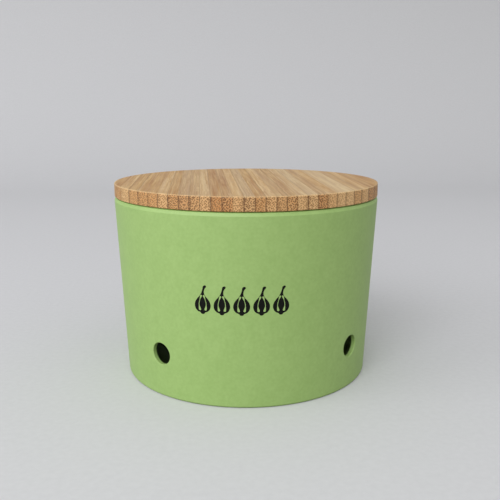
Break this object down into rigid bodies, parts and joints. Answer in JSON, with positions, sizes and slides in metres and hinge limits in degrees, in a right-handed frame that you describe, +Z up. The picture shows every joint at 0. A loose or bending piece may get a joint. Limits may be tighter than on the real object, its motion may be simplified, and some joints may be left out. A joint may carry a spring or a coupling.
{
  "type": "garlic keeper",
  "caption": "Round tapered canister of bamboo-fibre composite with vents low in its wall, and a lift-off lid turned from edge-glued bamboo strips, for keeping garlic.",
  "frame": {"origin": "centre of the canister's foot, on the surface it stands on", "axes": "+Z up along the canister's axis; +Y from the front to the back, along the lid's bamboo strips; +X to the right as seen from the front"},
  "size_m": [0.1448, 0.1448, 0.1051],
  "materials": {
    "canister_composite": "matte bamboo-fibre composite, light green with a faint mottle and fine fibre specks",
    "bamboo_pale": "oiled bamboo, pale strip, sanded",
    "bamboo_tan": "oiled bamboo, tan strip, sanded",
    "bamboo_brown": "oiled bamboo, orange-brown strip, sanded"
  },
  "bodies": {
    "canister": {"canister": "canister_composite"},
    "lid": {"lid_strip_01": "bamboo_pale", "lid_strip_02": "bamboo_brown", "lid_strip_03": "bamboo_pale", "lid_strip_04": "bamboo_tan", "lid_strip_05": "bamboo_tan", "lid_strip_06": "bamboo_tan", "lid_strip_07": "bamboo_pale", "lid_strip_08": "bamboo_tan", "lid_strip_09": "bamboo_brown", "lid_strip_10": "bamboo_tan", "lid_strip_11": "bamboo_pale", "lid_strip_12": "bamboo_brown", "lid_strip_13": "bamboo_brown", "lid_strip_14": "bamboo_pale", "lid_strip_15": "bamboo_tan", "lid_strip_16": "bamboo_tan", "lid_strip_17": "bamboo_pale", "lid_strip_18": "bamboo_tan", "lid_strip_19": "bamboo_tan", "lid_strip_20": "bamboo_pale", "lid_strip_21": "bamboo_pale", "lid_strip_22": "bamboo_brown", "lid_strip_23": "bamboo_pale", "lid_strip_24": "bamboo_pale", "lid_strip_25": "bamboo_pale", "lid_strip_26": "bamboo_tan", "lid_strip_27": "bamboo_pale", "lid_strip_28": "bamboo_brown", "lid_strip_29": "bamboo_brown", "lid_strip_30": "bamboo_brown"}
  },
  "joints": [
    {"name": "lid_lift", "type": "slide", "parent": "canister", "child": "lid", "axis": [0, 0, 1], "range_m": [0, 0.08]}
  ]
}
